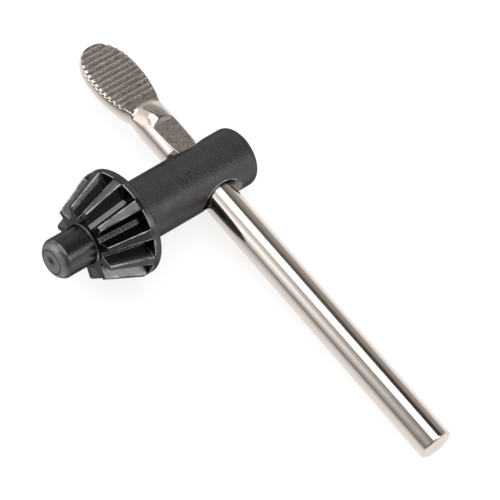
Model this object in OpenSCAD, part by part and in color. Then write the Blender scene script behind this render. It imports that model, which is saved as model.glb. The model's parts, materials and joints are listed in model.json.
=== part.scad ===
// Chuck key: a turned body with a short bevel gear and a pilot, and a round bar through
// its shank that is flattened into a ribbed thumb grip at one end.
// The key lies as it comes to rest on a table: the gear rim, the rear edge of the shank
// and the plain end of the bar touch the surface. The origin is the middle of the gear's
// front face, where the pilot leaves it; X runs along the bar and Y along the body.

/* [Pilot] */
// Diameter of the pilot that turns in the chuck's hole
pilot_d = 8; // [5:0.1:9]
// Length of the pilot in front of the gear
pilot_len = 7.9; // [4:0.05:12]
// Depth of the rounded lead-in at the pilot's tip
pilot_lead = 1.55; // [0.4:0.05:1.8]
// Radius of the curve that breaks the lead-in
pilot_lead_curve = 2.1; // [1.8:0.1:6]
// Radius of the fillet at the pilot's root
pilot_fillet = 0.35; // [0.1:0.05:0.6]
// Diameter of the centre mark in the pilot's face
centre_d = 1.3; // [0.4:0.1:2]
// Depth of the centre mark
centre_depth = 0.45; // [0.1:0.05:1]

/* [Gear] */
// Number of teeth
teeth = 11; // [9:1:14]
// Turn of the first tooth about the body, in degrees
tooth_phase = -75.4; // [-180:0.1:180]
// Diameter over the teeth at the front face
gear_front_d = 15.22; // [14:0.1:17]
// Diameter of the closed rim behind the teeth
rim_d = 21.7; // [20:0.05:26]
// Length of the teeth from the front face to the rim
tooth_len = 8.05; // [6:0.05:10]
// Width of the closed rim behind the tooth spaces
rim_w = 1.75; // [1.2:0.05:3]
// How far the rim's cylinder reaches forward between the tooth spaces
rim_lead = 0.2; // [0.1:0.05:0.6]
// Radius of the rim's rounded back edge
rim_round = 0.5; // [0.1:0.05:0.6]
// Distance from the axis to the floor of a tooth space at the front
root_front_r = 5.12; // [4.7:0.02:6]
// Distance from the axis to the floor of a tooth space at the rim
root_back_r = 7.6; // [6.8:0.02:9]
// Width of the flat floor of a tooth space
root_w = 1.1; // [0.5:0.05:1.4]
// Slope of each flank of a tooth space away from its middle, in degrees
flank_angle = 27.4; // [18:0.2:30]

/* [Shank] */
// Diameter of the shank
shank_d = 12; // [10.5:0.1:15]
// Length of the shank behind the gear
shank_len = 28.95; // [24:0.1:40]
// Radius of the rounded rear edge
shank_round = 1.5; // [0.3:0.1:2]
// Radius of the fillet where the shank meets the gear
shank_fillet = 0.6; // [0.1:0.1:1]

/* [Bar] */
// Diameter of the bar
bar_d = 6.9; // [5:0.1:7.5]
// Distance from the front face of the gear to the bar's axis
bar_y = 29; // [26:0.1:31]
// Length of the bar from the body's axis to its plain end
bar_plain = 69.1; // [40:0.1:90]
// Bevel at the bar's plain end
bar_bevel = 0.3; // [0.1:0.05:0.8]
// Clearance between the bar and its hole, on the radius
bar_fit = 0.02; // [0.01:0.01:0.1]
// Width of the countersink round each mouth of the hole, on the radius
mouth_w = 1.5; // [0.2:0.05:2]
// How far the countersinks lie off the hole's axis, towards the rear
mouth_shift = 0.4; // [0:0.05:0.8]

/* [Thumb grip] */
// Distance from the body's axis to the tip of the grip
grip_tip = 34.2; // [30:0.1:45]
// Length of the widened blade of the grip
grip_len = 17.6; // [14:0.1:19]
// Width of the grip
grip_w = 11; // [8.5:0.1:13]
// Power of the curve that the grip's outline follows: 2 is an ellipse and 3 is squarer
blade_power = 2.3; // [2:0.05:3]
// Thickness of the grip between its two pressed faces
grip_t = 2.7; // [2.2:0.1:4.5]
// Height of the bar's section before its faces are pressed
grip_blank_t = 7.2; // [6.9:0.1:8]
// How far the middle of the grip lies below the bar's axis
grip_drop = 0.27; // [0:0.01:1.5]
// Slope of the pressed faces, down towards the tip, in degrees
grip_slope = 3; // [0:0.1:4]
// Radius of the rounded edge at the tip
grip_tip_round = 1.6; // [0.6:0.1:2.4]
// Distance from the body's axis to the near end of the pressed face
face_start = 18.1; // [17:0.1:19]
// Length over which the face rises to the neck
face_rise = 1.1; // [0.6:0.1:2.4]

/* [Ribs] */
// Distance from the body's axis to the middle of the first groove
first_rib = 19.58; // [19.2:0.02:21]
// Distance from one rib to the next
rib_pitch = 1.206; // [0.9:0.01:1.6]
// Depth of the grooves between the ribs
rib_depth = 0.38; // [0.1:0.02:0.6]
// Width of a groove as a share of the pitch
rib_share = 0.86; // [0.5:0.02:0.95]

/* [Neck] */
// Width of the bar where the seat beside the shank is pressed
seat_w = 7.7; // [7:0.1:9]
// Width of the neck between the seat and the grip
neck_w = 7.4; // [6.8:0.1:8.6]
// Distance from the body's axis to the far end of the seat
seat_end = 12.2; // [9:0.1:13]
// Height of the seat above the bar's axis at the shank
seat_near_h = 2.83; // [2.4:0.01:3.3]
// Height of the seat above the bar's axis at its far end
seat_far_h = 2.48; // [2:0.01:3]
// Length over which the seat's end wall rises
seat_rise = 1.2; // [0.4:0.1:2]
// Height of the neck's ridge at the seat
ridge_near_h = 3.27; // [2.9:0.01:3.4]
// Height of the neck's ridge at the grip
ridge_far_h = 2.55; // [2.2:0.01:3]
// Slope of the neck's two upper faces, in degrees
ridge_angle = 24; // [10:1:40]

/* [Hidden] */
$fn = 96;
// How far a cutter reaches past what it cuts, and a length that reaches past the whole key
slack = 1;
far = 40;
// Length over which the grip's oval sections grow out of the round bar
seam_len = 0.3;
// Rings along the grip, and the length at its tip where they stand closer together
ring_count = 36;
tip_len = 1.2;
// Power of the blend between the outlines of the bar and of the grip's blade
blend_power = 5;
// Lengths over which the bar's sides run in from one width to the next
side_ease = 2;
drop_ease = 3;
// Width of a groove's flat floor as a share of the groove
groove_floor = 0.35;

pilot_r = pilot_d / 2;
shank_r = shank_d / 2;
bar_r = bar_d / 2;
rim_r = rim_d / 2;
rim_y = tooth_len + rim_w;
rear_y = rim_y + shank_len;

// Rest pose. The table touches the rim's round edge and the shank's round edge, which
// gives the pitch; the bar's plain end then rolls the key down on to the table.
rim_ring = [rim_y - rim_round, rim_r - rim_round];
rear_ring = [rear_y - shank_round, shank_r - shank_round];
ring_gap = rear_ring - rim_ring;
pitch_deg = atan2(-ring_gap[1], ring_gap[0]) + asin((rim_round - shank_round) / norm(ring_gap));
axis_h = rim_ring[0] * sin(pitch_deg) + rim_ring[1] * cos(pitch_deg) + rim_round;
bar_h = axis_h - bar_y * sin(pitch_deg);
bar_reach = bar_plain - bar_bevel;
bar_dip = asin(bar_h / norm([bar_reach, bar_r])) - atan2(bar_r, bar_reach);
roll_deg = asin(sin(bar_dip) / cos(pitch_deg));

// Points of an arc of radius r round [x, y], from angle a0 to angle a1
function arc(x, y, r, a0, a1, n = 8) =
    [for (i = [0:n]) let (a = a0 + (a1 - a0) * i / n) [x + r * cos(a), y + r * sin(a)]];

// Points of the arc of radius r that joins two points and bulges away from the axis
function bulge(p, q, r, n = 8) =
    let (m = (p + q) / 2, d = norm(q - p) / 2, u = (q - p) / (2 * d),
         c = m + sqrt(r * r - d * d) * [-u[1], u[0]],
         a0 = atan2(p[1] - c[1], p[0] - c[0]), a1 = atan2(q[1] - c[1], q[0] - c[0]))
    arc(c[0], c[1], r, a0, a1, n);

// Smooth step from 0 to 1 as x goes from a to b
function ease(x, a, b) = let (t = min(1, max(0, (x - a) / (b - a)))) t * t * (3 - 2 * t);

// Lays a shape turned about Z along the body's axis, with its front at the origin
module along_body() rotate([-90, 0, 0]) children();

// Puts the key into its rest pose
module at_rest() rotate([-pitch_deg, 0, 0]) rotate([0, roll_deg, 0]) children();

// Outline of the turned body: distance from the axis, then distance behind the front face
module body_outline() {
    lead_r = pilot_r - pilot_lead;
    polygon(concat(
        [[0, centre_depth - pilot_len], [centre_d / 2, -pilot_len]],
        bulge([lead_r, -pilot_len], [pilot_r, pilot_lead - pilot_len], pilot_lead_curve),
        arc(pilot_r + pilot_fillet, -pilot_fillet, pilot_fillet, 180, 90),
        [[gear_front_d / 2, 0], [rim_r, tooth_len - rim_lead], [rim_r, rim_y - rim_round]],
        arc(rim_r - rim_round, rim_y - rim_round, rim_round, 0, 90),
        arc(shank_r + shank_fillet, rim_y + shank_fillet, shank_fillet, 270, 180),
        arc(shank_r - shank_round, rear_y - shank_round, shank_round, 0, 90),
        [[0, rear_y]]
    ));
}

// One tooth space: a straight cut with a flat floor and sloping flanks, which rises
// towards the rim and stops at a wall square to the body's axis
module tooth_space() {
    root_tilt = atan2(root_back_r - root_front_r, tooth_len);
    depth = rim_r;
    half = root_w / 2;
    flare = depth * tan(flank_angle);
    intersection() {
        translate([root_front_r, 0, 0])
            rotate([0, root_tilt, 0])
                translate([0, 0, -depth])
                    linear_extrude(depth + 2 * tooth_len)
                        polygon([[0, -half], [depth, -half - flare], [depth, half + flare], [0, half]]);
        translate([0, -depth, -slack]) cube([2 * depth, 2 * depth, tooth_len + slack]);
    }
}

// The bar's hole across the shank, with a countersink of 90 degrees at both mouths
module bar_hole() {
    hole_r = bar_r + bar_fit;
    inner = mouth_w + mouth_shift + slack;
    outer = slack;
    translate([0, 0, bar_y]) rotate([0, 90, 0]) {
        cylinder(r = hole_r, h = 2 * far, center = true);
        for (side = [0, 180])
            rotate([side, 0, 0])
                translate([-mouth_shift, 0, shank_r - inner])
                    cylinder(r1 = hole_r + mouth_w - inner, r2 = hole_r + mouth_w + outer, h = inner + outer);
    }
}

module key_body() {
    color("dimgray")
        at_rest()
            along_body()
                difference() {
                    rotate_extrude() body_outline();
                    for (i = [0:teeth - 1])
                        rotate([0, 0, tooth_phase + (i + 0.5) * 360 / teeth]) tooth_space();
                    bar_hole();
                }
}

// Half width of the grip's blade at distance x from the body's axis
function blade_half(x) =
    let (mid = grip_tip - grip_len / 2, t = abs(x - mid) / (grip_len / 2))
    t >= 1 ? 0 : grip_w / 2 * pow(1 - pow(t, blade_power), 1 / blade_power);

// Half width of the pressed bar: it swells at the seat, narrows at the neck and ends
// at the middle of the blade, where the blade alone goes on
function stem_half(x) =
    let (swell = bar_r + (seat_w / 2 - bar_r) * ease(x, shank_r, seat_end - side_ease),
         waist = swell + (neck_w / 2 - seat_w / 2) * ease(x, seat_end, face_start - side_ease))
    waist * (1 - ease(x, face_start, grip_tip - grip_len / 2));

// Half width of the grip end, from the blade and the bar together
function grip_half(x) =
    pow(pow(blade_half(x), blend_power) + pow(stem_half(x), blend_power), 1 / blend_power);

// Height of the middle of the bar's section
function grip_mid(x) = -grip_drop * ease(x, shank_r, seat_end + drop_ease);

// Half height of the bar's section, which rounds off at the tip
function blank_half(x) =
    let (body = bar_r + (grip_blank_t / 2 - bar_r) * ease(x, shank_r, seat_end),
         left = min(1, (grip_tip - x) / grip_tip_round))
    body * sqrt(max(0, left * (2 - left)));

// The bar's grip end before its faces are pressed: oval sections along the bar
module grip_blank() {
    sides = 48;
    start = shank_r + seam_len;
    run = [for (i = [1:ring_count]) start + (grip_tip - tip_len - start) * i / ring_count];
    tip = [for (d = [0.75, 0.54, 0.35, 0.2, 0.08, 0.02]) grip_tip - d * tip_len];
    stations = concat([shank_r, start], run, tip);
    // The first section lies inside the bar and the next stands just proud of it
    seam = [-0.15, 0.02];
    rings = [for (k = [0:len(stations) - 1])
        let (x = stations[k], grow = k < 2 ? seam[k] : 0,
             w = grip_half(x) + grow, h = blank_half(x) + grow)
        [for (i = [0:sides - 1])
            let (a = 360 * i / sides) [-x, w * cos(a), grip_mid(x) + h * sin(a)]]];
    last_ring = len(stations) - 1;
    polyhedron(
        points = [for (ring = rings) each ring],
        faces = concat(
            [[for (i = [sides - 1:-1:0]) i]],
            [for (k = [0:last_ring - 1]) for (i = [0:sides - 1])
                let (j = (i + 1) % sides, a = k * sides)
                [a + i, a + j, a + sides + j, a + sides + i]],
            [[for (i = [0:sides - 1]) last_ring * sides + i]]));
}

// Everything above the pressed face of the grip and above its rise to the neck
module face_cut() {
    top = grip_blank_t;
    face_h = grip_t / 2 - grip_drop;
    mid = grip_tip - grip_len / 2;
    near_h = face_h + (mid - face_start) * tan(grip_slope);
    far_h = face_h - (far - mid) * tan(grip_slope);
    rotate([90, 0, 0])
        linear_extrude(2 * grip_w, center = true)
            polygon([[-face_start, near_h], [-far, far_h], [-far, top],
                     [face_rise * (top - near_h) / (ridge_far_h - near_h) - face_start, top]]);
    ribs();
}

// Grooves across the pressed face, each with a narrow flat floor and two sloping sides
module ribs() {
    mid = grip_tip - grip_len / 2;
    face_h = grip_t / 2 - grip_drop;
    half = rib_pitch * rib_share / 2;
    count = floor((grip_tip - first_rib) / rib_pitch);
    translate([-mid, 0, face_h])
        rotate([0, -grip_slope, 0])
            for (i = [0:count - 1])
                translate([mid - first_rib - rib_pitch * i, 0, 0])
                    rotate([90, 0, 0])
                        linear_extrude(2 * grip_w, center = true)
                            polygon([[-half, slack / 10], [half, slack / 10], [half, 0],
                                     [half * groove_floor, -rib_depth],
                                     [-half * groove_floor, -rib_depth], [-half, 0]]);
}

// The pressed seat beside the shank, down to its sloping floor, with its end wall
module seat_cut() {
    top = grip_blank_t;
    near = shank_r - mouth_w;
    wall = (top - seat_far_h) / (ridge_near_h - seat_far_h) * seat_rise;
    rotate([90, 0, 0])
        linear_extrude(2 * grip_w, center = true)
            polygon([[-near, seat_near_h], [-seat_end, seat_far_h], [-seat_end - wall, top], [-near, top]]);
}

// The neck's two sloping upper faces, which meet in a ridge that falls towards the grip
module neck_cut() {
    ridge_start = seat_end + seat_rise;
    ridge_len = face_start - face_rise - ridge_start;
    fall = atan2(ridge_near_h - ridge_far_h, ridge_len);
    eaves = -grip_w * tan(ridge_angle);
    translate([-ridge_start, 0, ridge_near_h])
        rotate([0, -fall, 0])
            rotate([90, 0, -90])
                translate([0, 0, -seat_rise])
                    linear_extrude(seat_rise + ridge_len + face_rise)
                        polygon([[0, 0], [grip_w, eaves], [grip_w, grip_blank_t],
                                 [-grip_w, grip_blank_t], [-grip_w, eaves]]);
}

// All that the press takes off one side of the bar
module pressed_side() {
    face_cut();
    seat_cut();
    neck_cut();
}

module handle() {
    color("silver")
        at_rest()
            translate([0, bar_y, 0])
                difference() {
                    union() {
                        translate([-shank_r - seam_len, 0, 0])
                            rotate([0, 90, 0])
                                cylinder(r = bar_r, h = bar_reach + shank_r + seam_len);
                        translate([bar_reach, 0, 0])
                            rotate([0, 90, 0])
                                cylinder(r1 = bar_r, r2 = bar_r - bar_bevel, h = bar_bevel);
                        grip_blank();
                    }
                    pressed_side();
                    translate([0, 0, -2 * grip_drop]) mirror([0, 0, 1]) pressed_side();
                }
}

key_body();
handle();
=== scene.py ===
# %% [markdown]
# A drill chuck key. The real one is two pieces of steel. A blackened body carries a pilot,
# a straight bevel gear and a shank, and a bright bar passes through the shank and is
# pressed flat into a ribbed thumb grip at one end.
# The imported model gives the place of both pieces. The cells below work out finer skins for
# them with numpy, because the look of the key lies in its rounded tooth edges, its ribs and
# the soft back of its neck. Lengths are in millimetres where no other unit is named.

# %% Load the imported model
import json
import math

import bpy
import numpy as np
from mathutils import Matrix, Vector


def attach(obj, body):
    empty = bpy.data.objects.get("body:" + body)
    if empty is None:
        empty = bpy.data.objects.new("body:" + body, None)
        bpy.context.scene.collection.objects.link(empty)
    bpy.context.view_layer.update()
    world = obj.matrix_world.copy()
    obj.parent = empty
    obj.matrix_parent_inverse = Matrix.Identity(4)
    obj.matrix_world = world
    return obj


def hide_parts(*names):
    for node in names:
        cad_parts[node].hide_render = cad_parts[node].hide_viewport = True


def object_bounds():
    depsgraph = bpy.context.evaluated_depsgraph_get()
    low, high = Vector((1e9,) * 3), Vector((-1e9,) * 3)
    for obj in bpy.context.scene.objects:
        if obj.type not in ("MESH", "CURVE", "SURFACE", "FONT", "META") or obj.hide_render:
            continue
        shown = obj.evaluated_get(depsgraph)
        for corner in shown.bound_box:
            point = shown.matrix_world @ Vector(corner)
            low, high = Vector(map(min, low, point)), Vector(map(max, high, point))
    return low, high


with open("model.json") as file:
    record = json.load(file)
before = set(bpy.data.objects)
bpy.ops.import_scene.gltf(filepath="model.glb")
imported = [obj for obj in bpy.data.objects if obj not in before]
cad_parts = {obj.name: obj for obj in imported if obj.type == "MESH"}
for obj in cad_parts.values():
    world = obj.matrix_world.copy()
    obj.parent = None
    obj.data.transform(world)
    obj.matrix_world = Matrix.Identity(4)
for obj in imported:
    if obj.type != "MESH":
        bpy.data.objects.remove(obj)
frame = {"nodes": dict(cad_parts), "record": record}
cad_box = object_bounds()
print("nodes:", sorted(frame["nodes"]))

# %% [markdown]
# The key lies tilted on its surface, so its own axes differ a little from the row's. The
# record's pilot mount gives the pitch of the body, and the key is then rolled about the body
# until the bar's plain end touches down. All the shapes below are worked out in millimetres
# in the key's own frame (X along the bar, Y along the body, Z up), then turned and scaled.

# %% The key's own frame
MM = 0.001
ROLL = math.radians(3.29453)
pilot = next(m for m in frame["record"]["mounts"] if m["name"] == "pilot")
rearward = -np.array(pilot["axis"])
level = np.array([1.0, 0, 0])
barward = math.cos(ROLL) * level - math.sin(ROLL) * np.cross(level, rearward)
KEY_AXES = np.stack([barward, rearward, np.cross(barward, rearward)])


def in_row(points):
    """Points of the key's own frame in millimetres, as points of the row's frame in metres."""
    return np.asarray(points, float) @ KEY_AXES * MM


print("the body dips by %.1f degrees" % math.degrees(math.asin(-rearward[2])))

# %% [markdown]
# Every skin below is a stack of closed rings, one after the other along the piece, with a
# fan to a single point at each end. A ring has the same number of points everywhere, so the
# whole skin is one array of shape (rings, points, 3), and its faces follow from the array's
# shape alone. The sign of the volume tells whether the faces look outwards.

# %% A helper that makes a skin from rings
def fan(rim, tip):
    """Triangles from each edge of a ring of point numbers to one more point."""
    return np.stack([rim, np.roll(rim, -1), np.full_like(rim, tip)], axis=1)


def signed_volume(points, triangles):
    """A sixth of the sum of a . (b x c) over the triangles: positive if they face outwards."""
    a, b, c = (points[triangles[:, k]] for k in range(3))
    return (a * np.cross(b, c)).sum() / 6


def skin(name, rings, start, end, marks=None):
    """A mesh through rings of shape (rings, points, 3), closed with fans to start and end.
    marks holds one number for each point, by name, for the materials to read."""
    count, around = rings.shape[:2]
    points = np.concatenate([rings.reshape(-1, 3), [start, end]])
    number = np.arange(count * around).reshape(count, around)
    here, there = number[:-1], number[1:]
    quads = np.stack([here, np.roll(here, -1, 1), np.roll(there, -1, 1), there], -1)
    quads = quads.reshape(-1, 4)
    first, last = count * around, count * around + 1
    caps = np.concatenate([fan(number[0][::-1], first), fan(number[-1], last)])
    triangles = np.concatenate([quads[:, :3], quads[:, [0, 2, 3]], caps])
    if signed_volume(points, triangles) < 0:
        quads, caps = quads[:, ::-1], caps[:, ::-1]
    mesh = bpy.data.meshes.new(name)
    mesh.from_pydata(in_row(points), [], quads.tolist() + caps.tolist())
    mesh.shade_smooth()
    for mark, values in (marks or {}).items():
        layer = mesh.attributes.new(mark, "FLOAT", "POINT")
        values = np.append(values.ravel(), [values[0].mean(), values[-1].mean()])
        layer.data.foreach_set("value", values.astype(np.float32))
    piece = bpy.data.objects.new(name, mesh)
    bpy.context.scene.collection.objects.link(piece)
    print(name, "has", count, "rings of", around, "points")
    return piece


print("a fan over a ring of three points:", fan(np.arange(3), 3).tolist())

# %% [markdown]
# A sharp corner never catches the light as a real edge does, so corners are rounded where
# the outline is made. The helper below rounds a corner between two directions with an arc
# that touches both, and it does so for a whole array of corners at once.

# %% A helper that rounds corners
def unit(v):
    """Vectors of length 1 in the same directions."""
    return v / np.linalg.norm(v, axis=-1, keepdims=True)


def rounded(corner, into, out, radius, count):
    """Arc of a circle that touches the line into the corner and the line out of it.
    With t = radius * tan(turn / 2), it starts t before the corner. After an angle a it lies
    radius * sin(a) along the way in and radius * (1 - cos(a)) to the side of the way out."""
    into, out = unit(into), unit(out)
    radius = np.broadcast_to(radius, corner.shape[:-1] + (1,))
    cosine = (into * out).sum(-1, keepdims=True)
    turn = np.arccos(np.clip(cosine, -1, 1))
    side = unit(out - cosine * into)
    start = corner - radius * np.tan(turn / 2) * into
    a = np.linspace(0, 1, count)[:, None] * turn[..., None, :]
    arc = np.sin(a) * into[..., None, :] + (1 - np.cos(a)) * side[..., None, :]
    return start[..., None, :] + radius[..., None, :] * arc


def between(a, b, count, ends=(True, True)):
    """Points on the straight lines from a to b, with or without the end points."""
    t = np.linspace(0, 1, count + (not ends[0]) + (not ends[1]))
    t = t[(not ends[0]):len(t) - (not ends[1])]
    return a[..., None, :] * (1 - t[:, None]) + b[..., None, :] * t[:, None]


square_corner = rounded(np.zeros(2), np.array([1.0, 0]), np.array([0, 1.0]), 1.0, 3)
print("a square corner of radius 1:", square_corner.round(2).tolist())

# %% [markdown]
# The gear has straight teeth: a cutter with a flat tip and sloping sides is pushed through
# the blank in a straight line that rises towards the rim. Across the body, each tooth space
# is then a flat floor, two flanks and the round lands on either side, at every distance from
# the front. The rings of the gear follow those corners, so each edge of a tooth is a line of
# the grid and stays sharp without a dense mesh.

# %% The section of the gear
TEETH = 11
FIRST_TOOTH = math.radians(-75.4)
FRONT_R = 7.61
RIM_R = 10.85
TOOTH_LEN = 8.05
RIM_W = 1.75
RIM_LEAD = 0.2
ROOT_FRONT_R = 5.12
ROOT_BACK_R = 7.6
ROOT_HALF = 0.55
FLANK = math.radians(27.4)
HALF_PITCH = math.pi / TEETH
ROOT_FILLET = 0.25
EDGE_ROUND = 0.2
# Points on half of a space's floor, its foot, its flank, its rounded edge and half a land
FLOOR_POINTS, FOOT_POINTS, FLANK_POINTS, BROW_POINTS, LAND_POINTS = 3, 5, 7, 6, 5


def land_radius(w):
    """Distance of a tooth's land from the axis: a cone that ends at the rim."""
    return np.minimum(FRONT_R + w * (RIM_R - FRONT_R) / (TOOTH_LEN - RIM_LEAD), RIM_R)


def half_space(w):
    """Half of a tooth space across the body, from the middle of its floor to the middle of
    the land, at the distances w behind the front face. The floor lies at x = floor, the
    flank runs z = ROOT_HALF + slope * (x - floor), and it ends where x^2 + z^2 = land^2."""
    tilt = math.atan2(ROOT_BACK_R - ROOT_FRONT_R, TOOTH_LEN)
    floor = ROOT_FRONT_R + w * math.tan(tilt)
    slope = math.cos(tilt) * math.tan(FLANK)
    land = land_radius(w)
    shift = ROOT_HALF - slope * floor
    square = 1 + slope ** 2
    under_root = (shift * slope) ** 2 - square * (shift ** 2 - land ** 2)
    edge_x = (np.sqrt(under_root) - shift * slope) / square
    edge = np.stack([edge_x, shift + slope * edge_x], -1)
    middle = np.stack([floor, 0 * floor], -1)
    corner = np.stack([floor, 0 * floor + ROOT_HALF], -1)
    along_land = np.stack([-edge[:, 1], edge[:, 0]], -1)
    foot = rounded(corner, corner - middle, edge - corner, ROOT_FILLET, FOOT_POINTS)
    brow = rounded(edge, edge - corner, along_land, EDGE_ROUND, BROW_POINTS)
    from_angle = np.arctan2(brow[:, -1, 1], brow[:, -1, 0])
    share = np.linspace(0, 1, LAND_POINTS + 1)[1:]
    angles = from_angle[:, None] + (HALF_PITCH - from_angle[:, None]) * share
    lands = np.stack([np.cos(angles), np.sin(angles)], -1) * land[:, None, None]
    floor_line = between(middle, foot[:, 0], FLOOR_POINTS, (True, False))
    flank_line = between(foot[:, -1], brow[:, 0], FLANK_POINTS, (False, False))
    return np.concatenate([floor_line, foot, flank_line, brow, lands], axis=1)


def gear_section(w):
    """The gear's whole outline across the body, as (distances, points, 2)."""
    half = half_space(np.atleast_1d(np.asarray(w, float)))
    mirrored = half[:, :0:-1] * (1, -1)
    pitch = np.concatenate([mirrored, half[:, :-1]], axis=1)
    turns = FIRST_TOOTH + (np.arange(TEETH) + 0.5) * 2 * HALF_PITCH
    c, s = np.cos(turns), np.sin(turns)
    rotation = np.array([[c, -s], [s, c]]).transpose(2, 0, 1)
    return np.einsum("tij,wpj->wtpi", rotation, pitch).reshape(len(half), -1, 2)


def outward(section):
    """Unit normals of a closed outline that runs anticlockwise, within its plane."""
    step = np.roll(section, -1, 0) - np.roll(section, 1, 0)
    return unit(np.stack([step[:, 1], -step[:, 0]], -1))


half_count = half_space(np.array([0.0])).shape[1]
COLUMNS = TEETH * (2 * half_count - 2)
print("the gear's outline has", COLUMNS, "points")

# %% [markdown]
# Along the body the rings run over the front face, round the front edge of the teeth, along
# the spaces, up the wall at their end and over the rim. The front edge is an offset of the
# outline: at an angle a, the ring lies b * (1 - sin(a)) inside the outline and
# b * (1 - cos(a)) behind the face, with b the size of the break. The foot of the wall is the
# same arc turned the other way. Where a land runs into the rim there is no wall, so the
# rings are spread out behind each other there by a small lift.
# Each ring also gets a mark for how far the black finish is rubbed off its points.

# %% The rings of the gear
FRONT_BREAK = 0.13
WALL_FILLET = RIM_LEAD
RIM_BREAK = 0.15
PILOT_R = 4.0
PILOT_FILLET = 0.35
FACE_IN_R = PILOT_R + PILOT_FILLET + 0.15
SPACE_RINGS = 16
BROW_WEAR = (0.3, 0.8, 1, 1, 1, 1, 0.8, 0.3)
SPACE_WEAR = 0.78
RIM_WEAR = 1.15
BREAK_ANGLES = np.radians((22.5, 45, 67.5, 90))


def at_depth(outline, w):
    """An outline (points, 2) with its distance behind the front face as third value."""
    depth = np.broadcast_to(np.asarray(w, float), outline.shape[:1])
    return np.concatenate([outline, depth[:, None]], axis=1)


def capped(outline, radius):
    """An outline pulled in to a largest distance from the axis."""
    r = np.linalg.norm(outline, axis=-1, keepdims=True)
    return outline * np.minimum(1, radius / r)


def brow_marks():
    """1 on the rounded edges of the teeth round the whole outline, and 0 elsewhere."""
    half = np.zeros(half_count)
    first = FLOOR_POINTS + FOOT_POINTS + FLANK_POINTS - 1
    half[first:first + len(BROW_WEAR)] = BROW_WEAR
    return np.tile(np.concatenate([half[:0:-1], half[:-1]]), TEETH)


def gear_rings():
    """Rings of the gear, and for each of its points how far it is rubbed."""
    rings, wear = [], []

    def lay(outline, w, rubbed=0.0):
        rings.append(at_depth(outline, w))
        wear.append(np.broadcast_to(np.asarray(rubbed, float), COLUMNS))

    brow = brow_marks()
    front = gear_section(FRONT_BREAK)[0]
    out = outward(front)
    inner, flat_edge = capped(front, FACE_IN_R), front - FRONT_BREAK * out
    for t in (0, 0.5):
        lay(inner * (1 - t) + flat_edge * t, 0)
    for a in np.append(0, BREAK_ANGLES[:3]):
        rubbed = (0.4 + 0.6 * math.sin(2 * a)) * (0.6 + 0.4 * brow)
        inset = FRONT_BREAK * (1 - math.sin(a))
        lay(front - inset * out, FRONT_BREAK * (1 - math.cos(a)), rubbed)
    depths = np.linspace(FRONT_BREAK, TOOTH_LEN - WALL_FILLET, SPACE_RINGS)
    for w, outline in zip(depths, gear_section(depths)):
        lay(outline, w, SPACE_WEAR * brow)
    foot = gear_section(TOOTH_LEN - WALL_FILLET)[0]
    out = outward(foot)
    for a in BREAK_ANGLES:
        outline = capped(foot + WALL_FILLET * (1 - math.cos(a)) * out, RIM_R)
        lay(outline, TOOTH_LEN - WALL_FILLET * (1 - math.sin(a)))
    low = rings[-1][:, :2]
    wall = RIM_R - np.linalg.norm(low, axis=1)
    turned = np.minimum(RIM_BREAK, wall)
    lift = RIM_BREAK * (1 - np.minimum(1, wall / (3 * RIM_BREAK)))
    top = unit(low) * (RIM_R - turned)[:, None]
    for t in (0.35, 0.7, 1):
        lay(low * (1 - t) + top * t, TOOTH_LEN + lift * t)
    for a in BREAK_ANGLES:
        outline = unit(low) * (RIM_R - turned * (1 - math.sin(a)))[:, None]
        rubbed = np.clip(wall / RIM_BREAK, 0, 1) * min(RIM_WEAR, 0.5 + 0.9 * math.sin(2 * a))
        lay(outline, TOOTH_LEN + lift + RIM_BREAK * (1 - math.cos(a)), rubbed)
    return np.stack(rings), np.stack(wear)


gear, gear_edge = gear_rings()
print("gear rings:", gear.shape)

# %% [markdown]
# The rest of the body is turned on a lathe, so its rings are circles, and a profile of its
# radius is enough. They keep the gear's angles, and the pilot, the rim, the shank and the
# gear are one closed skin with no seams.

# %% The turned parts of the body
PILOT_LEN = 7.9
PILOT_LEAD = 1.55
LEAD_CURVE = 2.1
CENTRE_R = 0.65
CENTRE_DEPTH = 0.45
RIM_ROUND = 0.5
SHANK_R = 6.0
SHANK_LEN = 28.95
SHANK_ROUND = 1.5
SHANK_FILLET = 0.6
RIM_BACK = TOOTH_LEN + RIM_W
REAR = RIM_BACK + SHANK_LEN


def arc(x, y, r, from_deg, to_deg, count):
    """Points of an arc of radius r round (x, y)."""
    a = np.radians(np.linspace(from_deg, to_deg, count))
    return np.stack([x + r * np.cos(a), y + r * np.sin(a)], -1)


def bulge(p, q, r, count):
    """Points of the arc of radius r from p to q that bulges away from the axis."""
    p, q = np.array(p), np.array(q)
    d = np.linalg.norm(q - p) / 2
    u = (q - p) / (2 * d)
    centre = (p + q) / 2 + math.sqrt(r * r - d * d) * np.array([-u[1], u[0]])
    ends = [math.degrees(math.atan2(*(e - centre)[::-1])) for e in (p, q)]
    return arc(*centre, r, *ends, count)


def turned_rings(profile, angles):
    """Circles of a turned outline (distance from the axis, distance behind the front face)."""
    circle = np.stack([np.cos(angles), np.sin(angles)], -1)
    rings = profile[:, None, :1] * circle
    depth = np.broadcast_to(profile[:, None, 1:], rings.shape[:2] + (1,))
    return np.concatenate([rings, depth], -1)


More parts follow.
